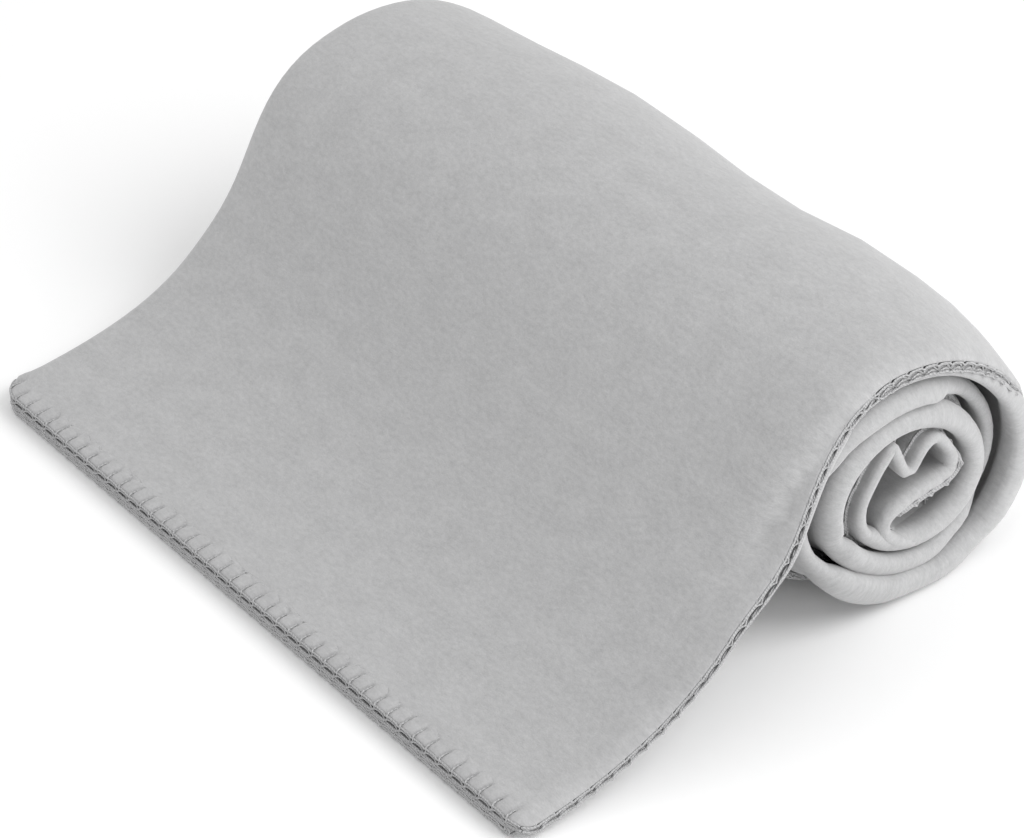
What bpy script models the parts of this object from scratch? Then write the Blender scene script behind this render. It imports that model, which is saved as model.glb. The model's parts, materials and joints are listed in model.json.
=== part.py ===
"""A fleece throw blanket, folded to a strip of four layers and rolled up, with its free end laid out.

Metres, +Z up. The roll's axis lies along X, with the open edges of the cloth on the +X side, and the
free end comes off the top of the roll towards -Y and lies on the floor. The roll is one rigid body,
and the free end lifts on a hinge along the line where the cloth leaves the roll.
"""

from math import cos, pi, radians, sin

import bmesh
import bpy
from mathutils import Vector

# The cloth: its full size when it is unfolded, and how it is folded.
SHEET_LENGTH = 1.27
SHEET_WIDTH = 1.52
FLEECE_THICKNESS = 0.0025
LAYERS = 4

# The roll: the hollow at its core, the least air between turns, and its sag into an oval with a flat foot.
CORE_RADIUS = 0.011
AIR_BETWEEN_TURNS = 0.0007
DEPTH_FACTOR = 1.12
HEIGHT_FACTOR = 0.93
FOOT_SAG = 0.0008

# The free end: where it leaves the roll, how far it reaches past the roll's front, how far past the front
# its upper bend swings, and how long its lower bend takes to lie flat. It starts with a short straight
# lead, so that its cut face stays square to the roll's.
LEAVING_ANGLE = radians(-18)
STRAIGHT_LEAD = 0.0015
REACH = 0.142
UPPER_BEND = 0.022
LOWER_BEND = 0.110

# The hem yarn, and the gap that pieces keep from each other.
YARN_RADIUS = 0.0009
CLEARANCE = 0.0003

# How finely the curves are divided.
STEPS_PER_TURN = 48
FREE_END_STEPS = 26
HEM_TURN_STEPS = 8

STRIP_WIDTH = SHEET_WIDTH / LAYERS
STRIP_THICKNESS = LAYERS * FLEECE_THICKNESS
PITCH = (STRIP_THICKNESS + AIR_BETWEEN_TURNS + FOOT_SAG) / min(DEPTH_FACTOR, HEIGHT_FACTOR)
YARN_STANDOFF = CLEARANCE + YARN_RADIUS

# Where the two open layers run, measured out from the middle of the strip.
OUTER_LAYER = 1.5 * FLEECE_THICKNESS
SECOND_LAYER = 0.5 * FLEECE_THICKNESS

FLEECE_GREY = (0.44, 0.44, 0.445, 1.0)
YARN_GREY = (0.36, 0.36, 0.365, 1.0)


def clear_scene():
    for obj in list(bpy.data.objects):
        bpy.data.objects.remove(obj, do_unlink=True)


def new_collection(name):
    collection = bpy.data.collections.new(name)
    bpy.context.scene.collection.children.link(collection)
    return collection


def new_material(name, colour, roughness):
    material = bpy.data.materials.new(name)
    material.use_nodes = True
    shader = material.node_tree.nodes["Principled BSDF"]
    shader.inputs["Base Color"].default_value = colour
    shader.inputs["Roughness"].default_value = roughness
    shader.inputs["Metallic"].default_value = 0.0
    material.diffuse_color = colour
    return material


def new_empty(name, location, parent, collection):
    empty = bpy.data.objects.new(name, None)
    empty.empty_display_size = 0.03
    empty.location = location
    empty.parent = parent
    collection.objects.link(empty)
    return empty


# Paths are lists of Vector((0, y, z)) along the middle of the strip's thickness, with the roll's centre
# at y = 0 and the floor at z = 0.


def wound_path(turns):
    """The strip from its start at the core to the line where it leaves the roll."""
    total = turns * 2 * pi
    leaving_radius = CORE_RADIUS + PITCH * turns
    foot_radius = leaving_radius - PITCH * (pi - LEAVING_ANGLE) / (2 * pi)
    centre_z = HEIGHT_FACTOR * foot_radius + STRIP_THICKNESS / 2 - FOOT_SAG
    steps = round(turns * STEPS_PER_TURN)
    path = []
    for step in range(steps + 1):
        wound = total * step / steps
        radius = CORE_RADIUS + PITCH * wound / (2 * pi)
        angle = LEAVING_ANGLE + total - wound
        y = DEPTH_FACTOR * radius * sin(angle)
        z = centre_z + HEIGHT_FACTOR * radius * cos(angle)
        path.append(Vector((0, y, max(z, STRIP_THICKNESS / 2))))
    return path


def free_end_path(wound):
    """The strip from the roll down to its end on the floor: one soft S-curve."""
    leaving = (wound[-1] - wound[-2]).normalized()
    face = wound[-1] + leaving * CLEARANCE
    start = face + leaving * STRAIGHT_LEAD
    roll_front = min(p.y for p in wound) - STRIP_THICKNESS / 2
    end = Vector((0, roll_front - REACH, STRIP_THICKNESS / 2))
    first_handle = start + leaving * (roll_front - UPPER_BEND - start.y) / leaving.y
    second_handle = end + Vector((0, LOWER_BEND, 0))
    path = [face]
    for step in range(FREE_END_STEPS + 1):
        t = step / FREE_END_STEPS
        path.append(
            start * (1 - t) ** 3
            + first_handle * 3 * t * (1 - t) ** 2
            + second_handle * 3 * t**2 * (1 - t)
            + end * t**3
        )
    return path


def path_length(path):
    return sum((b - a).length for a, b in zip(path, path[1:]))


def turns_for_sheet():
    """How many turns use up the sheet's whole length, found by halving."""
    low, high = 0.5, 40.0
    for _ in range(50):
        middle = (low + high) / 2
        wound = wound_path(middle)
        if path_length(wound) + path_length(free_end_path(wound)) < SHEET_LENGTH:
            low = middle
        else:
            high = middle
    return low


def directions(path):
    """The unit tangent at each point of a path."""
    found = []
    for i in range(len(path)):
        before = path[max(i - 1, 0)]
        after = path[min(i + 1, len(path) - 1)]
        found.append((after - before).normalized())
    return found


def outward(direction):
    """The strip's outer side, a quarter turn from its direction of travel."""
    return Vector((0, direction.z, -direction.y))


def offset_path(path, distance):
    return [p + outward(d) * distance for p, d in zip(path, directions(path))]


def new_fleece(name, path, origin, parent, material, collection):
    """The folded strip along a path: an open sheet, thickened evenly to both sides."""
    mesh = bmesh.new()
    left = [mesh.verts.new(p - origin - Vector((STRIP_WIDTH / 2, 0, 0))) for p in path]
    run = [mesh.edges.new(pair) for pair in zip(left, left[1:])]
    swept = bmesh.ops.extrude_edge_only(mesh, edges=run)["geom"]
    right = [v for v in swept if isinstance(v, bmesh.types.BMVert)]
    bmesh.ops.translate(mesh, verts=right, vec=(STRIP_WIDTH, 0, 0))
    data = bpy.data.meshes.new(name)
    mesh.to_mesh(data)
    mesh.free()
    obj = bpy.data.objects.new(name, data)
    obj.parent = parent
    data.materials.append(material)
    collection.objects.link(obj)
    thicken = obj.modifiers.new("strip thickness", "SOLIDIFY")
    thicken.thickness = STRIP_THICKNESS
    thicken.offset = 0
    thicken.use_even_offset = True
    return obj


def new_yarn(name, points, origin, parent, material, collection):
    """A run of hem yarn: a round tube through the points."""
    data = bpy.data.curves.new(name, "CURVE")
    data.dimensions = "3D"
    data.bevel_depth = YARN_RADIUS
    data.bevel_resolution = 1
    data.use_fill_caps = True
    spline = data.splines.new("POLY")
    spline.points.add(len(points) - 1)
    for target, point in zip(spline.points, points):
        target.co = (*(point - origin), 1)
    obj = bpy.data.objects.new(name, data)
    obj.parent = parent
    data.materials.append(material)
    collection.objects.link(obj)
    return obj


def side_hem_points(path, layer):
    """Along one open layer, just outside the strip's +X edge."""
    x = STRIP_WIDTH / 2 + YARN_STANDOFF
    return [Vector((x, p.y, p.z)) for p in offset_path(path, layer)]


def half_circle(centre_x, centre_out, radius, start):
    """Points (x, out) of a turn from one layer to another, starting above or below its centre."""
    side = -1 if centre_x < 0 else 1
    return [
        (
            centre_x + side * radius * sin(pi * k / HEM_TURN_STEPS),
            centre_out + start * radius * cos(pi * k / HEM_TURN_STEPS),
        )
        for k in range(HEM_TURN_STEPS + 1)
    ]


def end_hem_points(end, travel, ahead):
    """The hem across one end of the strip. It follows all the layers, and turns with each fold.

    It lies ahead of the end along the strip's travel, or behind it where ahead is -1.
    """
    open_edge = STRIP_WIDTH / 2 - YARN_RADIUS
    far_folds = -(STRIP_WIDTH / 2 - OUTER_LAYER - YARN_RADIUS)
    near_fold = STRIP_WIDTH / 2 - SECOND_LAYER - YARN_RADIUS
    outline = [(open_edge, OUTER_LAYER)]
    outline += half_circle(far_folds, 0, OUTER_LAYER, 1)
    outline += half_circle(near_fold, -FLEECE_THICKNESS, SECOND_LAYER, -1)
    outline += half_circle(far_folds, 0, SECOND_LAYER, -1)
    outline.append((open_edge, SECOND_LAYER))
    base = end + travel * ahead * YARN_STANDOFF
    return [base + outward(travel) * out + Vector((x, 0, 0)) for x, out in outline]


def build():
    clear_scene()
    parts = new_collection("rolled_throw_blanket")
    fleece = new_material("fleece", FLEECE_GREY, 0.95)
    yarn = new_material("hem_yarn", YARN_GREY, 0.85)

    wound = wound_path(turns_for_sheet())
    free = free_end_path(wound)

    # The whole object is centred on the origin, with its longest sides along X and Y.
    back = max(p.y for p in offset_path(wound, STRIP_THICKNESS / 2))
    front = free[-1].y - YARN_STANDOFF - YARN_RADIUS
    centring = Vector((-(YARN_STANDOFF + YARN_RADIUS) / 2, -(back + front) / 2, 0))
    frame = new_empty("blanket_frame", centring, None, parts)

    hinge_at = (wound[-1] + free[0]) / 2 + outward(directions(wound)[-1]) * STRIP_THICKNESS / 2
    hinge = new_empty("free_end_hinge", hinge_at, frame, parts)

    here = Vector((0, 0, 0))
    new_fleece("wound_fleece", wound, here, frame, fleece, parts)
    new_fleece("free_end_fleece", free, hinge_at, hinge, fleece, parts)

    for name, layer in (("outer_side_hem", OUTER_LAYER), ("second_side_hem", SECOND_LAYER)):
        new_yarn(f"{name}_wound", side_hem_points(wound, layer), here, frame, yarn, parts)
        new_yarn(f"{name}_free", side_hem_points(free, layer), hinge_at, hinge, yarn, parts)

    core_hem = end_hem_points(wound[0], directions(wound)[0], -1)
    new_yarn("core_end_hem", core_hem, here, frame, yarn, parts)
    front_hem = end_hem_points(free[-1], directions(free)[-1], 1)
    new_yarn("front_end_hem", front_hem, hinge_at, hinge, yarn, parts)


build()
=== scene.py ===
"""A light grey fleece throw, folded to a strip of four plies and rolled, with its free end laid out."""

import json
from math import atan2, cos, degrees, hypot, pi, radians, sin, sqrt

import bmesh
import bpy
from mathutils import Matrix, Vector
from mathutils.kdtree import KDTree

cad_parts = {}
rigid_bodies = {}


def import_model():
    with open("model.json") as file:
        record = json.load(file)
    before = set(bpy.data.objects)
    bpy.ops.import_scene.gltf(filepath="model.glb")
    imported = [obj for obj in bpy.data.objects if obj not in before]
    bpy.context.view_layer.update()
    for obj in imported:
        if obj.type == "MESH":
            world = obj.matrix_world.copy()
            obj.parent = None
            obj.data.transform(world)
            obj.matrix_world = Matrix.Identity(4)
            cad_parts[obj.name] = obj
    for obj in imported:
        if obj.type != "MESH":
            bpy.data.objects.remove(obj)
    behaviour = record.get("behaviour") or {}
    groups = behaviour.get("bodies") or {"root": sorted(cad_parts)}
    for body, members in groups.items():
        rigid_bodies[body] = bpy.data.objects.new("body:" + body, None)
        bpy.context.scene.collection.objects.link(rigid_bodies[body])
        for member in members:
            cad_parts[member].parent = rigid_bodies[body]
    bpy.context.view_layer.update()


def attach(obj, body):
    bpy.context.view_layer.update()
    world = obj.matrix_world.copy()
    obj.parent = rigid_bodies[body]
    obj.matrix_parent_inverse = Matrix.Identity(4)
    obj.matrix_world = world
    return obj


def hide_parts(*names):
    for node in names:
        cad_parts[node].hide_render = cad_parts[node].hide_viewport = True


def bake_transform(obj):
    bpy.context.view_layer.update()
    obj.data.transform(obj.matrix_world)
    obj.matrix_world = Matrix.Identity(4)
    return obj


for startup_object in list(bpy.data.objects):
    bpy.data.objects.remove(startup_object, do_unlink=True)
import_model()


# --- The studio: a plain pale floor under a pale sky, and the camera above and to the right of the front.
# --- One broad soft lamp hangs over the back right shoulder of the roll, one low lamp faces the roll's open
# --- end, and a weak one stands at the front left.

FLOOR_REACH = 6.0

stage_mesh = bmesh.new()
bmesh.ops.create_grid(stage_mesh, x_segments=1, y_segments=1, size=FLOOR_REACH)
floor_data = bpy.data.meshes.new("studio_floor")
stage_mesh.to_mesh(floor_data)
stage_mesh.free()
floor = bpy.data.objects.new("studio_floor", floor_data)
bpy.context.scene.collection.objects.link(floor)

floor_paint = bpy.data.materials.new("pale_floor")
floor_paint.use_nodes = True
floor_shader = floor_paint.node_tree.nodes["Principled BSDF"]
floor_shader.inputs["Base Color"].default_value = (0.93, 0.93, 0.93, 1)
floor_shader.inputs["Roughness"].default_value = 0.9
floor_shader.inputs["Specular IOR Level"].default_value = 0.1
floor_data.materials.append(floor_paint)

sky = bpy.data.worlds.new("pale_sky")
sky.use_nodes = True
sky.node_tree.nodes["Background"].inputs["Color"].default_value = (1, 1, 1, 1)
sky.node_tree.nodes["Background"].inputs["Strength"].default_value = 0.84
bpy.context.scene.world = sky
bpy.context.scene.view_settings.view_transform = "Standard"

LAMP_AIM = Vector((0, 0, 0.05))


def soft_lamp(name, place, size, watts):
    """A round area lamp that faces the middle of the roll."""
    light = bpy.data.lights.new(name, "AREA")
    light.shape = "DISK"
    light.size = size
    light.energy = watts
    lamp = bpy.data.objects.new(name, light)
    lamp.location = place
    lamp.rotation_euler = (LAMP_AIM - Vector(place)).to_track_quat("-Z", "Y").to_euler()
    bpy.context.scene.collection.objects.link(lamp)


soft_lamp("shoulder_lamp", (1.3, 0.9, 1.7), 1.6, 23)
soft_lamp("end_lamp", (2.0, 0.30, 0.32), 1.2, 13)
soft_lamp("front_lamp", (-1.2, -1.8, 0.7), 1.6, 6)

camera_data = bpy.data.cameras.new("camera")
camera_data.sensor_width = 36
camera_data.lens = 120.5
camera = bpy.data.objects.new("camera", camera_data)
camera_right = Vector((0.61337, 0.78877, -0.0402))
camera_up = Vector((-0.45531, 0.39473, 0.79805))
camera_back = Vector((0.64535, -0.4712, 0.60125))
camera_place = Vector((0.93442, -0.68482, 0.90039))
camera.matrix_world = Matrix(
    (
        (camera_right.x, camera_up.x, camera_back.x, camera_place.x),
        (camera_right.y, camera_up.y, camera_back.y, camera_place.y),
        (camera_right.z, camera_up.z, camera_back.z, camera_place.z),
        (0, 0, 0, 1),
    )
)
bpy.context.scene.collection.objects.link(camera)
bpy.context.scene.camera = camera


# --- The cloth: one piece of polar fleece, 1.27 m along the strip and 1.52 m across before folding. It is
# --- folded in half twice, so that both long cut edges lie on top at the right and a soft fold lies under
# --- them, and the strip is then rolled up from its far end, whose first turn is crumpled into an S.

CLOTH_LENGTH = 1.27
CLOTH_WIDTH = 1.52

# The room that one ply takes in the strip, and the fleece's own thickness.
PLY = 0.0025
FLEECE = 0.0023

# The roll: the middle of its turns, how much it grows with each, its oval, where the free end leaves it,
# and how low the middle of the strip may lie above the floor.
ROLL_Y, ROLL_Z = 0.06859, 0.05761
PITCH = 0.0123656
LEAVING_RADIUS = 0.0642257
LEAVING_ANGLE = radians(-18)
OVAL_DEPTH, OVAL_HEIGHT = 1.12, 0.93
LOWEST_STRIP = 0.0051

# How far inwards the even turns go on, and how much further the crumpled core turns.
CORE_ANGLE = radians(970)
CORE_TURN = radians(600)

# The length of the cloth in the free end, and in the roll.
FREE_LENGTH = 0.2227
WOUND_LENGTH = CLOTH_LENGTH - FREE_LENGTH

# The strip from side to side. Its right side stands further in on the roll than at the front hem.
LEFT, RIGHT, ROLL_RIGHT = -0.19105, 0.18895, 0.1705

# The crumpled core, as (y, z) from the middle of the roll, from the even turns inwards.
CORE_BENDS = [
    (-0.0298, -0.0092),
    (-0.0282, 0.0050),
    (-0.0222, 0.0160),
    (-0.0170, 0.0221),
    (-0.0117, 0.0271),
    (-0.0073, 0.0182),
    (-0.0033, 0.0097),
    (0.0011, 0.0150),
    (0.0060, 0.0196),
    (0.0130, 0.0197),
    (0.0204, 0.0091),
    (0.0220, -0.0005),
    (0.0155, -0.0040),
    (0.0051, -0.0050),
    (-0.0061, -0.0070),
    (-0.0135, -0.0104),
    (-0.0131, -0.0168),
    (-0.0033, -0.0250),
    (0.0102, -0.0274),
    (0.0206, -0.0240),
]


def ease(t):
    """From 0 to 1 with a soft start and a soft stop."""
    t = min(max(t, 0.0), 1.0)
    return t * t * (3 - 2 * t)


def through(points, steps):
    """A smooth line through the points, as a list, with so many steps between each two."""
    line = []
    for i in range(len(points) - 1):
        a, b = points[max(i - 1, 0)], points[i]
        c, d = points[i + 1], points[min(i + 2, len(points) - 1)]
        for k in range(steps):
            t = k / steps
            bend = (a * 2 - b * 5 + c * 4 - d) * t**2
            turn_back = (b * 3 - a - c * 3 + d) * t**3
            line.append((b * 2 + (c - a) * t + bend + turn_back) / 2)
    return line + [points[-1]]


def evenly(line, count):
    """The same line with its points an equal distance apart, measured by their y and z."""
    gone = [0.0]
    for a, b in zip(line, line[1:]):
        gone.append(gone[-1] + (b - a).xy.length)
    found, i = [], 0
    for k in range(count):
        want = gone[-1] * k / (count - 1)
        while i < len(line) - 2 and gone[i + 1] < want:
            i += 1
        share = (want - gone[i]) / max(gone[i + 1] - gone[i], 1e-9)
        found.append(line[i].lerp(line[i + 1], share))
    return found


# The rolled part, from its crumpled core out to the line where the free end leaves it. Each point is
# (y, z, how far the strip has turned inwards from the top of the roll). Where the core meets the even
# turns, a few points of both are left out, and the smoothing rounds the join.
TURN_POINTS = 1200
CORE_POINTS = 240
CORE_LEFT_OUT, TURNS_LEFT_OUT = 14, 16
WOUND_STEPS = 1400
SMOOTHINGS = 6

turned = []
for k in range(TURN_POINTS):
    angle = CORE_ANGLE + (LEAVING_ANGLE - CORE_ANGLE) * k / (TURN_POINTS - 1)
    radius = LEAVING_RADIUS - PITCH * (angle - LEAVING_ANGLE) / (2 * pi)
    y = ROLL_Y + OVAL_DEPTH * radius * sin(angle)
    z = max(ROLL_Z + OVAL_HEIGHT * radius * cos(angle), LOWEST_STRIP)
    turned.append(Vector((y, z, angle)))
core_line = [Vector((ROLL_Y + y, ROLL_Z + z, 0)) for y, z in CORE_BENDS]
core = []
for k, p in enumerate(evenly(through(core_line, 10), CORE_POINTS)):
    core.append(Vector((p.x, p.y, CORE_ANGLE + CORE_TURN * k / (CORE_POINTS - 1))))
core.reverse()
wound = evenly(core[:-CORE_LEFT_OUT] + turned[TURNS_LEFT_OUT:], WOUND_STEPS + 1)
for _ in range(SMOOTHINGS):
    between = [(a + b * 2 + c) / 4 for a, b, c in zip(wound, wound[1:], wound[2:])]
    wound = [wound[0]] + between + [wound[-1]]

# The free end, at five places from the left side of the strip to the right: one S-curve, as (y, z, 0). It
# comes down the left in a long slope, and on the right it stays up for longer and then drops, because
# both its handles are shorter there.
FREE_PLACES = 5
FREE_STEPS = 80
CURVE_STEPS = 200
LEAVING_WAY = Vector((-0.9835, -0.1811, 0))
FRONT_Y, FRONT_Y_BACK = -0.1430, 0.003
UPPER_HANDLE, UPPER_SHORTER = 0.075, 0.034
LOWER_HANDLE, LOWER_SHORTER = 0.162, 0.082

start = Vector((wound[-1].x, wound[-1].y, 0))
free_lines = []
for k in range(FREE_PLACES):
    right = k / (FREE_PLACES - 1)
    end = Vector((FRONT_Y + FRONT_Y_BACK * right, 2 * PLY, 0))
    first = start + LEAVING_WAY * (UPPER_HANDLE - UPPER_SHORTER * right)
    second = end + Vector((LOWER_HANDLE - LOWER_SHORTER * right, 0, 0))
    curve = []
    for j in range(CURVE_STEPS + 1):
        t = j / CURVE_STEPS
        upper = start * (1 - t) ** 3 + first * 3 * t * (1 - t) ** 2
        curve.append(upper + second * 3 * t * t * (1 - t) + end * t**3)
    free_lines.append(evenly(curve, FREE_STEPS + 1))

# Along the free end the strip goes on turning outwards, at this radius.
FREE_RADIUS = 0.065


def along(x, v):
    """The middle of the strip at v along the cloth: (y, z, direction y, direction z, turned)."""
    if v <= WOUND_LENGTH:
        place = max(v, 0) / WOUND_LENGTH * WOUND_STEPS
        i = min(int(place), WOUND_STEPS - 1)
        here = wound[i].lerp(wound[i + 1], place - i)
        a, b = wound[max(i - 1, 0)], wound[min(i + 2, WOUND_STEPS)]
        c = wound[max(i - 2, 0)].lerp(a, place - i)
        d = b.lerp(wound[min(i + 3, WOUND_STEPS)], place - i)
        dy, dz = d.x - c.x, d.y - c.y
        size = hypot(dy, dz)
        back = min(v, 0)
        return here.x + dy / size * back, here.y + dz / size * back, dy / size, dz / size, here.z
    side = min(max((x - LEFT) / (RIGHT - LEFT), 0), 0.9999) * (FREE_PLACES - 1)
    s = int(side)
    share = (v - WOUND_LENGTH) / FREE_LENGTH * FREE_STEPS
    i = min(int(share), FREE_STEPS - 1)

    def at(j):
        j = min(max(j, 0), FREE_STEPS)
        return free_lines[s][j].lerp(free_lines[s + 1][j], side - s)

    a, b = at(i), at(i + 1)
    before, after = at(i - 1), at(i + 2)
    c, d = before.lerp(a, share - i), b.lerp(after, share - i)
    way = d - c
    here = a.lerp(b, min(share - i, 1.0))
    past = max(v - CLOTH_LENGTH, 0)
    way.normalize()
    turn = LEAVING_ANGLE - (v - WOUND_LENGTH) / FREE_RADIUS
    return here.x + way.x * past, here.y + way.y * past, way.x, way.y, turn


# How the right side lies as the strip turns inwards: degrees turned from the top of the roll, and in
# millimetres half the height of the soft fold, how far it stands out and how far the cut edges stay behind.
RIGHT_SIDE = [
    (-220, 1.7, -6, 0),
    (-130, 1.7, -5, 0),
    (-60, 1.7, -2, 0),
    (15, 1.7, -1, 0),
    (60, 3.6, 0, 1),
    (88, 6.0, 0.3, 8),
    (112, 7.4, 1, 15),
    (134, 7.2, 1.5, 16),
    (147, 5.8, -0.5, 17),
    (160, 6.6, 1.5, 18),
    (205, 7.0, 1.5, 30),
    (228, 5.4, 0, 30),
    (240, 2.8, -4, 30),
    (252, 2.2, -6, 30),
    (290, 2.2, -6, 30),
    (316, 3.1, -1.5, 30),
    (340, 3.9, 0, 30),
    (372, 3.9, 0, 26),
    (386, 3.0, -5, 26),
    (404, 2.6, -8, 26),
    (425, 2.6, -9, 28),
    (485, 2.6, -10, 28),
    (506, 3.4, -4, 22),
    (530, 4.2, 0, 20),
    (600, 4.6, 0, 26),
    (612, 3.4, -4, 28),
    (626, 4.0, -1, 26),
    (690, 3.6, -0.5, 18),
    (735, 4.6, 0, 15),
    (860, 4.9, 0, 17),
    (930, 3.8, -1, 13),
    (975, 2.0, -1, 8),
    (1050, 1.8, 0, 6),
    (1270, 1.8, 0, 6),
    (1300, 3.0, 0, 0),
    (1400, 3.0, 0, 0),
    (1430, 2.4, 0, 5),
    (1500, 2.4, 0, 5),
    (1545, 2.2, -7, 8),
    (1570, 2.2, -9, 10),
]


def right_side(turn):
    """The same three measures at one turn, in metres."""
    turn = degrees(turn)
    for low, high in zip(RIGHT_SIDE, RIGHT_SIDE[1:]):
        if turn <= high[0]:
            t = ease((turn - low[0]) / (high[0] - low[0]))
            return [(a + (b - a) * t) / 1000 for a, b in zip(low[1:], high[1:])]
    return [a / 1000 for a in RIGHT_SIDE[-1][1:]]


# Where the cloth passes each fold, measured across it from its first cut edge.
FIRST_FOLD = (0.3755, 0.3873)
SOFT_FOLD = (0.7467, 0.7817)
INNER_FOLD = (1.1411, 1.1450)

# The soft fold: how deep it is, which share of it is round, and how a tall one lifts its middle.
FOLD_DEPTH = 0.016
ROUND_SHARE = 0.4
TALL_FOLD = 0.0018
FOLD_LIFT = 0.10


def across(u, edge, half, stand, behind, flat):
    """(x, distance out from the strip's middle) at u across the cloth, for a right side at edge that lies
    as right_side says, and a strip pressed to a share flat of its height."""
    outer, inner = 1.5 * PLY, 0.5 * PLY
    tip = edge + stand
    if u < FIRST_FOLD[0]:
        t = u / FIRST_FOLD[0]
        return (edge - behind) + (LEFT + outer - edge + behind) * t, outer * flat
    if u < FIRST_FOLD[1]:
        a = (u - FIRST_FOLD[0]) / (FIRST_FOLD[1] - FIRST_FOLD[0]) * pi
        return LEFT + outer - outer * sin(a), outer * cos(a) * flat
    if u < SOFT_FOLD[0]:
        t = (u - FIRST_FOLD[1]) / (SOFT_FOLD[0] - FIRST_FOLD[1])
        return LEFT + outer + (tip - FOLD_DEPTH - LEFT - outer) * t, -outer * flat
    if u < SOFT_FOLD[1]:
        t = 2 * (u - SOFT_FOLD[0]) / (SOFT_FOLD[1] - SOFT_FOLD[0]) - 1
        size = abs(t)
        if size < ROUND_SHARE:
            a = size / ROUND_SHARE * pi / 2
            x, rise, q = tip - half * (1 - cos(a)), half * sin(a), 0.0
        else:
            q = (size - ROUND_SHARE) / (1 - ROUND_SHARE)
            x = tip - half - (FOLD_DEPTH - half) * q
            rise = half + (inner * flat - half) * ease(q)
        middle = -PLY * flat + max(half - TALL_FOLD, 0) * FOLD_LIFT * (1 - ease(q))
        return x, middle + (rise if t > 0 else -rise)
    if u < INNER_FOLD[0]:
        t = (u - SOFT_FOLD[1]) / (INNER_FOLD[0] - SOFT_FOLD[1])
        return tip - FOLD_DEPTH + (LEFT + outer - tip + FOLD_DEPTH) * t, -inner * flat
    if u < INNER_FOLD[1]:
        a = (u - INNER_FOLD[0]) / (INNER_FOLD[1] - INNER_FOLD[0]) * pi
        return LEFT + outer - inner * sin(a), -inner * cos(a) * flat
    t = (u - INNER_FOLD[1]) / (CLOTH_WIDTH - INNER_FOLD[1])
    return LEFT + outer + (edge - behind - LEFT - outer) * t, inner * flat


# How the ends of the roll settle, all by the distance from its middle: the right end leans, both rims
# round off, and two low swells stand out at the back, as (middle, reach, height).
ROLL_EDGE, ROLL_EDGE_RUN = 0.070, 0.030
LEAN_FROM, LEAN_RUN, LEAN, LEAN_ANGLE = 0.125, 0.045, 0.10, radians(72)
RIGHT_RIM, RIGHT_RIM_RUN, RIGHT_SAG = 0.143, 0.028, 0.115
LEFT_RIM, LEFT_RIM_RUN, LEFT_SAG = 0.160, 0.030, 0.06
BACK_SWELLS = [(-0.070, 0.105, 0.005), (0.085, 0.060, 0.0035)]
SWELL_ANGLE = radians(50)
SWELL_FROM, SWELL_RUN = 0.035, 0.02


def settle(x, y, z, hold):
    """Where a point of the even roll lies once its ends and its back have settled, as (y, z)."""
    dy, dz = (y - ROLL_Y) / OVAL_DEPTH, (z - ROLL_Z) / OVAL_HEIGHT
    radius = hypot(dy, dz)
    angle = atan2(dy, dz)
    near = (1 - ease((radius - ROLL_EDGE) / ROLL_EDGE_RUN)) * hold
    lean = ease((x - LEAN_FROM) / LEAN_RUN) * near
    right = min(max((x - RIGHT_RIM) / RIGHT_RIM_RUN, 0), 1)
    left = min(max((-x - LEFT_RIM) / LEFT_RIM_RUN, 0), 1)
    sag = RIGHT_SAG * (1 - sqrt(1 - right * right)) + LEFT_SAG * (1 - sqrt(1 - left * left))
    share = (1 - sag * near) * (1 + LEAN * lean * cos(2 * angle + LEAN_ANGLE))
    swell = sum(height * ease(1 - abs(x - middle) / reach) for middle, reach, height in BACK_SWELLS)
    swell *= near * ease((radius - SWELL_FROM) / SWELL_RUN) * ease(cos(angle - SWELL_ANGLE))
    share += swell / max(radius, 0.01)
    return ROLL_Y + dy * share * OVAL_DEPTH, ROLL_Z + dz * share * OVAL_HEIGHT


# In the crumpled core the strip is pressed flatter and the fleece thinner.
CRUMPLED_FROM = 940
CORE_PRESS = 0.45
CORE_THINNING = 0.42


def crumpled(turn, run=60):
    """0 in the even turns and 1 in the crumpled core."""
    return ease((degrees(turn) - CRUMPLED_FROM) / run)


# The right side widens down the free end, at its full width after this share of it, and draws in again
# towards the front hem.
WIDENS_BEFORE, FULL_WIDTH_AT = 0.010, 0.62
DRAWS_IN_FROM, DRAWS_IN_RUN, DRAWN_IN = 0.10, 0.12, 0.009


def right_edge(v):
    """Where the right side of the strip lies, in x."""
    past = v - WOUND_LENGTH
    spread = ease((past + WIDENS_BEFORE) / (FREE_LENGTH * FULL_WIDTH_AT))
    edge = ROLL_RIGHT + (RIGHT - ROLL_RIGHT) * spread
    return edge - DRAWN_IN * ease((past - DRAWS_IN_FROM) / DRAWS_IN_RUN)


# Down the free end the two long cut edges curl under. Up to there, and along the front hem, the two top
# plies part a little, so that each hem shows its own yarn.
CURL_WIDTH, CURL_DEPTH = 0.0085, 0.0030
CURL_FROM, CURL_RUN = 0.100, 0.060
FRONT_GAPE_RUN, FRONT_GAPE_EDGE, SIDE_GAPE_WIDTH = 0.022, 0.02, 0.016
GAPE_ENDS_FROM, GAPE_ENDS_RUN = 0.110, 0.050
GAPE_TURN = radians(120)
TOP_GAPE, SECOND_GAPE = 0.0005, 0.0010


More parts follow.
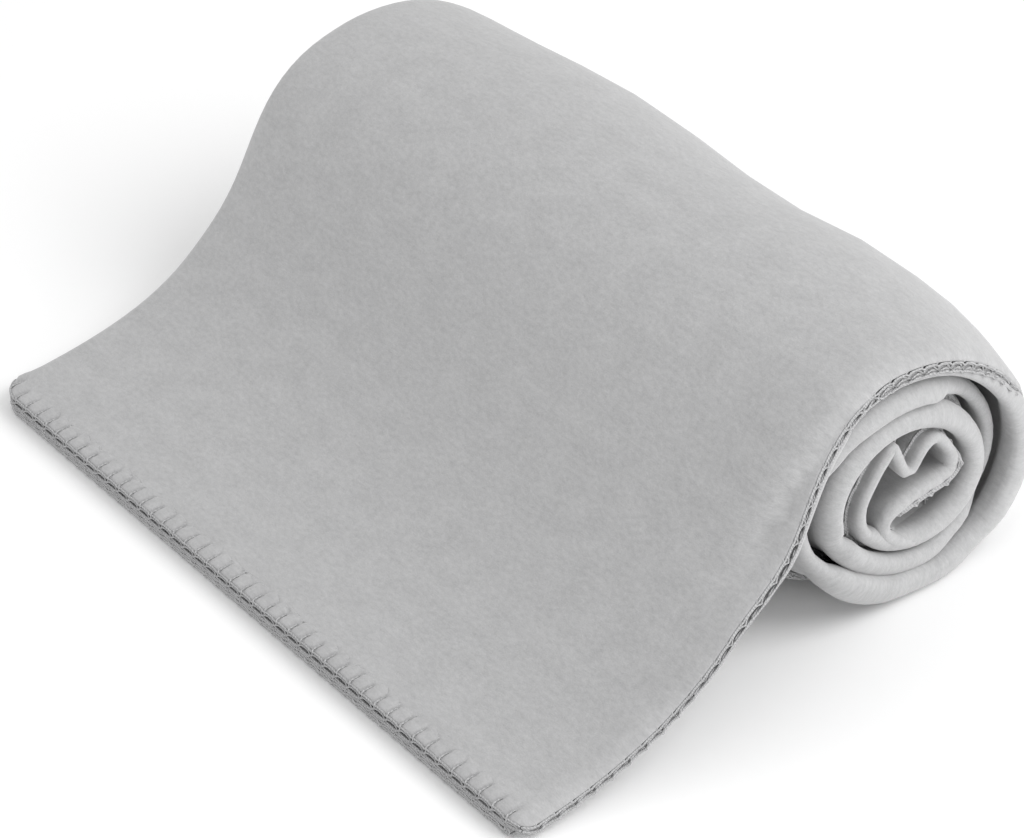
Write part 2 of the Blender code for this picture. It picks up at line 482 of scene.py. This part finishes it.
def curl_and_gape(u, v, turn):
    """How far the cut edges stand out from where the flat strip has them."""
    past = v - WOUND_LENGTH
    from_edge = min(u, CLOTH_WIDTH - u)
    out = 0.0
    if from_edge < CURL_WIDTH:
        out -= CURL_DEPTH * ease((past - CURL_FROM) / CURL_RUN) * (1 - from_edge / CURL_WIDTH) ** 2
    gape = ease((v - CLOTH_LENGTH + FRONT_GAPE_RUN) / FRONT_GAPE_RUN) * ease(from_edge / FRONT_GAPE_EDGE)
    if turn < GAPE_TURN:
        along_side = 1 - ease((past - GAPE_ENDS_FROM) / GAPE_ENDS_RUN)
        gape += ease(1 - from_edge / SIDE_GAPE_WIDTH) * along_side
    if u < CLOTH_WIDTH / 4:
        out += TOP_GAPE * gape
    elif u > CLOTH_WIDTH * 3 / 4:
        out -= SECOND_GAPE * gape
    return out


# The front left corner is drawn back a little, the free end lies in faint waves, and no cloth lies lower
# than half its thickness above the floor.
FRONT_RUN = 0.030
CORNER_REACH, CORNER_BACK = 0.013, 0.010
WAVE_HEIGHT, WAVE_RUN, WAVE_CLEARANCE = 0.0005, 0.05, 0.02
LOWEST_PLY = 0.0013


def waves(x, v):
    """Waves 110 to 200 mm long across the strip, which don't line up: about -1.6 to 1.6."""
    return sin(x * 31 + v * 17) * sin(v * 23 - x * 9 + 1.3) + 0.6 * sin(x * 57 - v * 41 + 0.7)


def laid(u, v):
    """Where a point of the flat cloth, u across and v along, lies in the rolled blanket."""
    turn = along(0, v)[4]
    half, stand, behind = right_side(turn)
    x, out = across(u, right_edge(v), half, stand, behind, 1 - CORE_PRESS * crumpled(turn))
    out += curl_and_gape(u, v, turn)
    y, z, dy, dz, turn = along(x, v)
    y, z = settle(x, y + dz * out, z - dy * out, 1 - crumpled(turn, 50))
    corner = min(max((LEFT + CORNER_REACH - x) / CORNER_REACH, 0), 1)
    y += CORNER_BACK * ease((v - CLOTH_LENGTH + FRONT_RUN) / FRONT_RUN) * corner * corner
    z += WAVE_HEIGHT * waves(x, v) * ease((v - WOUND_LENGTH) / WAVE_RUN) * ease(z / WAVE_CLEARANCE)
    return Vector((x, y, max(z, LOWEST_PLY)))


def on_cloth(u, v, height):
    """The same, raised off the middle of the fleece along its own surface."""
    step = 0.0006
    way = (laid(u + step, v) - laid(u - step, v)).cross(laid(u, v + step) - laid(u, v - step))
    return laid(u, v) + way.normalized() * height


# The flat cloth is drawn as a grid, whose lines lie closer together by the hems, by the folds and in the
# small inner turns. These are distances in from a hem, in from a long cut edge, and past a fold.
HEM_LINES = [0, 0.0008, 0.0025, 0.0055, 0.0078, 0.0105]
PLY_LINES = HEM_LINES + [0.015, 0.021, 0.030, 0.045, 0.068, 0.098, 0.135, 0.175, 0.215, 0.255, 0.292]
PLY_LINES += [0.322, 0.344, 0.358, 0.367, 0.372]
FOLD_RUN = [0.006, 0.016, 0.035, 0.065, 0.105, 0.150, 0.200, 0.245, 0.285, 0.315, 0.336, 0.350]

# The steps along the cloth, each up to its own distance from the core hem, and where they stop for the
# closer lines of the front hem.
ROW_STEPS = [(0.19, 0.0026), (0.55, 0.0048), (CLOTH_LENGTH, 0.0064)]
LAST_ROW = CLOTH_LENGTH - 0.0145


def over_fold(fold, cuts):
    """Lines across one fold, which is cut into so many equal parts."""
    return [fold[0] + (fold[1] - fold[0]) * k / cuts for k in range(cuts + 1)]


across_lines = PLY_LINES + over_fold(FIRST_FOLD, 6)
across_lines += [FIRST_FOLD[1] + d for d in FOLD_RUN]
across_lines += over_fold(SOFT_FOLD, 18)
across_lines += [INNER_FOLD[0] - d for d in reversed(FOLD_RUN)]
across_lines += over_fold(INNER_FOLD, 4)
across_lines += [CLOTH_WIDTH - d for d in reversed(PLY_LINES)]
along_lines = HEM_LINES[:-1]
while along_lines[-1] < LAST_ROW:
    along_lines.append(along_lines[-1] + next(step for end, step in ROW_STEPS if along_lines[-1] < end))
along_lines.pop()
along_lines += [CLOTH_LENGTH - d for d in reversed(HEM_LINES)]

cloth_mesh = bmesh.new()
columns, rows = len(across_lines), len(along_lines)
bmesh.ops.create_grid(cloth_mesh, x_segments=columns - 1, y_segments=rows - 1, size=0.5)
for vert in cloth_mesh.verts:
    column = round((vert.co.x + 0.5) * (columns - 1))
    row = round((vert.co.y + 0.5) * (rows - 1))
    vert.co = (across_lines[column], along_lines[row], 0)

# The hem stitches: how far apart they are, and how far they reach in over the fleece.
STITCH = 0.0085
BITE = 0.0055
STITCHES_ACROSS = round(CLOTH_WIDTH / STITCH)
STITCHES_ALONG = round(CLOTH_LENGTH / STITCH)


def from_hem(u, v):
    """(distance in from the nearest hem, place along it counted in stitches)."""
    side = min(u, CLOTH_WIDTH - u)
    end = min(v, CLOTH_LENGTH - v)
    if side < end:
        return side, v / CLOTH_LENGTH * STITCHES_ALONG
    return end, u / CLOTH_WIDTH * STITCHES_ACROSS


# In a band by each hem the grid is cut finer: six times to a stitch along the two end hems, which the
# stitches dimple, and four times along the two side hems. Only edges well over that length are cut.
HEM_BAND = 0.0080
WORTH_CUTTING = 1.4


def cut_hems(axis, spacing):
    """Cut the edges that run along the axis, near the two hems that it follows."""
    other = 1 - axis
    far_band = (CLOTH_WIDTH, CLOTH_LENGTH)[other] - HEM_BAND
    band = []
    for edge in cloth_mesh.edges:
        a, b = edge.verts[0].co, edge.verts[1].co
        length = abs(a[axis] - b[axis])
        if length > spacing * WORTH_CUTTING and (a[other] < HEM_BAND or a[other] > far_band):
            band.append((edge, round(length / spacing) - 1))
    for cuts in sorted({c for _, c in band}):
        chosen = [e for e, c in band if c == cuts and e.is_valid]
        bmesh.ops.subdivide_edges(cloth_mesh, edges=chosen, cuts=cuts, use_grid_fill=True)


cut_hems(0, STITCH / 6)
cut_hems(1, STITCH / 4)
bmesh.ops.triangulate(cloth_mesh, faces=[f for f in cloth_mesh.faces if len(f.verts) > 4])

flat_map = cloth_mesh.loops.layers.uv.new("flat_cloth")
fullness = cloth_mesh.verts.layers.deform.new()
run_layer = cloth_mesh.verts.layers.float.new("run")
for face in cloth_mesh.faces:
    face.smooth = True
    for loop in face.loops:
        loop[flat_map].uv = loop.vert.co.xy

# The cloth's corners are cut round, to this radius.
CORNER = 0.008


def rounded(u, v):
    """A place on a square-cornered cloth, moved to the round-cornered one."""
    cu = u if u < CLOTH_WIDTH / 2 else CLOTH_WIDTH - u
    cv = v if v < CLOTH_LENGTH / 2 else CLOTH_LENGTH - v
    if cu < CORNER and cv < CORNER:
        a, b = 1 - cu / CORNER, 1 - cv / CORNER
        share = max(a, b) / max(hypot(a, b), 1e-9)
        cu, cv = CORNER - a * share * CORNER, CORNER - b * share * CORNER
        u = cu if u < CLOTH_WIDTH / 2 else CLOTH_WIDTH - cu
        v = cv if v < CLOTH_LENGTH / 2 else CLOTH_LENGTH - cv
    return u, v


# The fleece thins towards its cut edges, and more so in each stitch. On the top ply of the end hems the
# yarn pulls dimples into it, and it swells between them.
RIM_FULLNESS, RIM_RUN = 0.35, 0.0028
PINCH_THINNING, PINCH_FROM, PINCH_RUN = 0.45, 0.003, 0.004
DIMPLE, DIMPLE_REACH, RIM_DIMPLE = 0.0011, 0.0035, 0.0005
PUFF, PUFF_RISE, PUFF_FALL = 0.0004, 0.003, 0.006


def fullness_at(inward, pinch, turn):
    """The share of its thickness that the fleece keeps."""
    full = RIM_FULLNESS + (1 - RIM_FULLNESS) * ease(inward / RIM_RUN)
    full *= 1 - PINCH_THINNING * pinch * (1 - ease((inward - PINCH_FROM) / PINCH_RUN))
    return full * (1 - CORE_THINNING * crumpled(turn))


def stitch_relief(inward, count, pinch):
    """How far the top ply of an end hem stands out between its stitches, or in at them."""
    dent = DIMPLE * pinch * (1 - ease(abs(inward - BITE) / DIMPLE_REACH))
    if inward < BITE:
        dent += RIM_DIMPLE * pinch
    between = (1 - cos(2 * pi * count)) / 2
    return PUFF * between * ease(inward / PUFF_RISE) * (1 - ease((inward - PUFF_FALL) / PUFF_FALL)) - dent


for vert in cloth_mesh.verts:
    u, v = vert.co.xy
    inward, count = from_hem(u, v)
    pinch = max(0.0, cos(2 * pi * count)) ** 3
    vert[fullness][0] = fullness_at(inward, pinch, along(0, v)[4])
    vert[run_layer] = v
    u, v = rounded(u, v)
    end_hem = min(v, CLOTH_LENGTH - v) < min(u, CLOTH_WIDTH - u)
    if end_hem and inward < 2 * PUFF_FALL and u < CLOTH_WIDTH / 4:
        vert.co = on_cloth(u, v, stitch_relief(inward, count, pinch))
    else:
        vert.co = laid(u, v)

cloth_data = bpy.data.meshes.new("fleece_throw")
cloth_mesh.to_mesh(cloth_data)
cloth_mesh.free()
throw = bpy.data.objects.new("fleece_throw", cloth_data)
bpy.context.scene.collection.objects.link(throw)
throw.vertex_groups.new(name="fullness")
thicken = throw.modifiers.new("fleece thickness", "SOLIDIFY")
thicken.thickness = FLEECE
thicken.offset = 0
thicken.vertex_group = "fullness"
thicken.thickness_vertex_group = 0.05

# Where the free end bends off the roll: from behind the line where it leaves to in front of it, and the
# same along the cloth.
BEND_BEFORE, BEND_LENGTH = 0.006, 0.030


def turn_weight(v):
    """0 on the roll and 1 on the free end, across a short soft bend."""
    return ease((v - WOUND_LENGTH + BEND_BEFORE) / BEND_LENGTH)


def bend_with_free_end(piece, weights):
    """The piece's placement is baked into its mesh; it is not bent between the two bodies. The roll's inner
    turns lie right under the free end, where one flat dividing plane would take them along."""
    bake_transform(piece)


bend_with_free_end(throw, [turn_weight(r.value) for r in cloth_data.attributes["run"].data])
cloth_data.attributes.remove(cloth_data.attributes["run"])
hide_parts("wound_fleece", "free_end_fleece")


class Socket:
    """A shader socket that Python's own operators work on."""

    tree = None

    def __init__(self, socket):
        self.socket = socket

    @classmethod
    def node(cls, kind, settings=None, inputs=None, output=0):
        made = cls.tree.nodes.new(kind)
        for name, value in (settings or {}).items():
            if name == "stops":
                for stop, (position, colour) in zip(made.color_ramp.elements, value):
                    stop.position, stop.color = position, colour
            else:
                setattr(made, name, value)
        for name, value in (inputs or {}).items():
            if isinstance(value, Socket):
                cls.tree.links.new(value.socket, made.inputs[name])
            else:
                made.inputs[name].default_value = value
        return cls(made.outputs[output])

    def maths(self, operation, a, b):
        return Socket.node("ShaderNodeMath", {"operation": operation}, {0: a, 1: b})

    def __add__(self, other):
        return self.maths("ADD", self, other)

    __radd__ = __add__

    def __mul__(self, other):
        return self.maths("MULTIPLY", self, other)

    __rmul__ = __mul__

    def __sub__(self, other):
        return self.maths("SUBTRACT", self, other)

    def __rsub__(self, other):
        return self.maths("SUBTRACT", other, self)

    def clamped(self):
        return Socket.node("ShaderNodeClamp", {}, {"Value": self})


def new_finish(name):
    """A new material with nodes, and its shader's inputs."""
    finish = bpy.data.materials.new(name)
    finish.use_nodes = True
    Socket.tree = finish.node_tree
    return finish, finish.node_tree.nodes["Principled BSDF"].inputs


def link(value, shader_input):
    Socket.tree.links.new(value.socket, shader_input)


# Polar fleece: brushed, matt, faintly mottled where the nap lies one way or the other, with short fibres
# and small pills that catch the light. The pattern follows the flat cloth, in metres.
FLEECE_DARK = (0.32, 0.32, 0.323, 1)
FLEECE_LIGHT = (0.46, 0.46, 0.463, 1)
fleece_finish, shader = new_finish("polar_fleece")
cloth_place = Socket.node("ShaderNodeUVMap", {"uv_map": "flat_cloth"})
nap_place = Socket.node("ShaderNodeMapping", {}, {"Vector": cloth_place, "Scale": (1.0, 1.7, 1.0)})
clouds = Socket.node("ShaderNodeTexNoise", {}, {"Vector": nap_place, "Scale": 60.0, "Detail": 3.0})
nap = Socket.node(
    "ShaderNodeTexNoise",
    {},
    {"Vector": nap_place, "Scale": 300.0, "Detail": 3.0, "Roughness": 0.6},
)
fibres = Socket.node("ShaderNodeTexNoise", {}, {"Vector": nap_place, "Scale": 1100.0, "Detail": 2.0})
pills = Socket.node("ShaderNodeTexVoronoi", {"feature": "F1"}, {"Vector": nap_place, "Scale": 240.0})
tone = (clouds * 0.25 + nap * 0.45 + fibres * 0.3).clamped()
colour = Socket.node(
    "ShaderNodeValToRGB",
    {"stops": [(0.30, FLEECE_DARK), (0.70, FLEECE_LIGHT)]},
    {"Fac": tone},
)
link(colour, shader["Base Color"])
height = nap * 0.5 + fibres * 0.35 + (1 - pills) * 0.25
fuzz = Socket.node("ShaderNodeBump", {}, {"Height": height, "Strength": 0.32, "Distance": 0.0009})
link(fuzz, shader["Normal"])
shader["Roughness"].default_value = 0.95
shader["Specular IOR Level"].default_value = 0.15
shader["Sheen Weight"].default_value = 0.35
shader["Sheen Roughness"].default_value = 0.55
shader["Sheen Tint"].default_value = (1, 1, 1, 1)
cloth_data.materials.append(fleece_finish)


# --- The hems: one grey twisted yarn round all four cut edges, worked by machine in whip stitches. Each
# --- stitch reaches in over the fleece on both sides, and two strands run along the rim and cross at every
# --- stitch, so that small loops stand open between them.

YARN = 0.00055

# One whip stitch, as (how far along it, in stitches; how far in from the cut edge, as a share of its bite;
# how far off the middle of the fleece).
WHIP_TURN = [
    (-0.02, 1.0, -0.0002),
    (0.00, 0.8, 0.00055),
    (0.03, 0.4, 0.0008),
    (0.06, 0.1, 0.0011),
    (0.12, -0.10, 0.0008),
    (0.16, -0.15, -0.0004),
    (0.22, 0.15, -0.0011),
    (0.42, 0.5, -0.0010),
    (0.70, 0.9, -0.0005),
    (0.86, 1.05, 0.0),
]

# The two rim strands, as (how far in from the cut edge, how far off the middle of the fleece) between the
# stitches, and how much is added to both at a stitch.
RIM_STEPS = 6
INNER_RIM = ((-0.0004, -0.0006), (-0.0006, -0.0013))
OUTER_RIM = ((-0.0003, 0.0004), (-0.0003, -0.0003))

# How thick each strand is beside the yarn, and the lowest that one may lie.
WHIP_SIZE, INNER_SIZE, OUTER_SIZE = 0.8, 1.0, 0.9
LOWEST_YARN = 0.0007

# On the side hems the stitches are short, and the fleece all but hides them from above.
SIDE_BITE = 0.0006
SUNK_SHARE, SUNK_DEPTH = 0.7, 0.0002

YARN_DARK = (0.31, 0.31, 0.314, 1)
YARN_LIGHT = (0.47, 0.47, 0.474, 1)
yarn_finish, shader = new_finish("twisted_yarn")
yarn_place = Socket.node("ShaderNodeTexCoord", {}, {}, "Object")
twist = Socket.node(
    "ShaderNodeTexWave",
    {"wave_type": "BANDS", "bands_direction": "DIAGONAL"},
    {"Vector": yarn_place, "Scale": 420.0, "Distortion": 3.0, "Detail": 2.0, "Detail Scale": 2.0},
    "Fac",
)
fluff = Socket.node("ShaderNodeTexNoise", {}, {"Vector": yarn_place, "Scale": 900.0, "Detail": 2.0})
yarn_colour = Socket.node(
    "ShaderNodeValToRGB",
    {"stops": [(0.25, YARN_DARK), (0.80, YARN_LIGHT)]},
    {"Fac": (twist * 0.45 + fluff * 0.55).clamped()},
)
link(yarn_colour, shader["Base Color"])
strand_bump = Socket.node(
    "ShaderNodeBump", {}, {"Height": twist * 0.6 + fluff * 0.4, "Strength": 0.35, "Distance": 0.0004}
)
link(strand_bump, shader["Normal"])
shader["Roughness"].default_value = 0.85
shader["Specular IOR Level"].default_value = 0.2
shader["Sheen Weight"].default_value = 0.2


def rim_strand(count, on_flat, between, at_stitch):
    """One rim strand, as points (u, v, height off the cloth)."""
    strand = []
    for k in range(count * RIM_STEPS + 1):
        knot = max(0.0, cos(2 * pi * k / RIM_STEPS)) ** 2
        inward, height = (base + more * knot for base, more in zip(between, at_stitch))
        strand.append((*on_flat(k / RIM_STEPS, inward), height))
    return strand


def sew_hem(name, count, on_flat, bite, sunk, node_names):
    """One hem of count stitches: a whip strand and two rim strands. on_flat(a, d) is the place on the flat
    cloth at a stitches along the hem and d in from its cut edge. Where sunk is 1 and not 0, the yarn lies
    down in the fleece. Gives the hem and how far each of its points turns with the free end."""
    data = bpy.data.curves.new(name, "CURVE")
    data.dimensions = "3D"
    data.bevel_depth = YARN
    data.bevel_resolution = 0
    data.use_fill_caps = True
    whip = []
    for k in range(count):
        for a, d, h in WHIP_TURN:
            if k + a <= count:
                whip.append((*on_flat(k + a, d * bite), h))
    strands = [
        (whip, WHIP_SIZE),
        (rim_strand(count, on_flat, *INNER_RIM), INNER_SIZE),
        (rim_strand(count, on_flat, *OUTER_RIM), OUTER_SIZE),
    ]
    runs = []
    places = KDTree(sum(len(points) for points, _ in strands))
    for points, size in strands:
        spline = data.splines.new("POLY")
        spline.points.add(len(points) - 1)
        for target, (u, v, h) in zip(spline.points, points):
            if h > 0:
                h -= (h * SUNK_SHARE + SUNK_DEPTH) * sunk
            place = on_cloth(*rounded(u, v), h)
            target.co = (place.x, place.y, max(place.z, LOWEST_YARN), 1)
            target.radius = size
            places.insert(target.co.xyz, len(runs))
            runs.append(v)
    places.balance()
    curve = bpy.data.objects.new(name, data)
    bpy.context.scene.collection.objects.link(curve)
    graph = bpy.context.evaluated_depsgraph_get()
    mesh = bpy.data.meshes.new_from_object(curve.evaluated_get(graph))
    bpy.data.objects.remove(curve)
    mesh.name = name
    hem = bpy.data.objects.new(name, mesh)
    bpy.context.scene.collection.objects.link(hem)
    mesh.materials.clear()
    mesh.materials.append(yarn_finish)
    mesh.polygons.foreach_set("use_smooth", [True] * len(mesh.polygons))
    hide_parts(*node_names)
    return hem, [turn_weight(runs[places.find(vert.co)[1]]) for vert in mesh.vertices]


along_step = CLOTH_LENGTH / STITCHES_ALONG
across_step = CLOTH_WIDTH / STITCHES_ACROSS
first_hem, first_weights = sew_hem(
    "outer_side_stitching",
    STITCHES_ALONG,
    lambda a, d: (d, a * along_step),
    SIDE_BITE,
    1,
    ("outer_side_hem_wound", "outer_side_hem_free"),
)
bend_with_free_end(first_hem, first_weights)
second_hem, second_weights = sew_hem(
    "second_side_stitching",
    STITCHES_ALONG,
    lambda a, d: (CLOTH_WIDTH - d, CLOTH_LENGTH - a * along_step),
    SIDE_BITE,
    1,
    ("second_side_hem_wound", "second_side_hem_free"),
)
bend_with_free_end(second_hem, second_weights)
front_hem, _ = sew_hem(
    "front_end_stitching",
    STITCHES_ACROSS,
    lambda a, d: (CLOTH_WIDTH - a * across_step, CLOTH_LENGTH - d),
    BITE,
    0,
    ("front_end_hem",),
)
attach(front_hem, "free_end")
core_hem, _ = sew_hem(
    "core_end_stitching",
    STITCHES_ACROSS,
    lambda a, d: (a * across_step, d),
    BITE,
    0,
    ("core_end_hem",),
)
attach(core_hem, "roll")
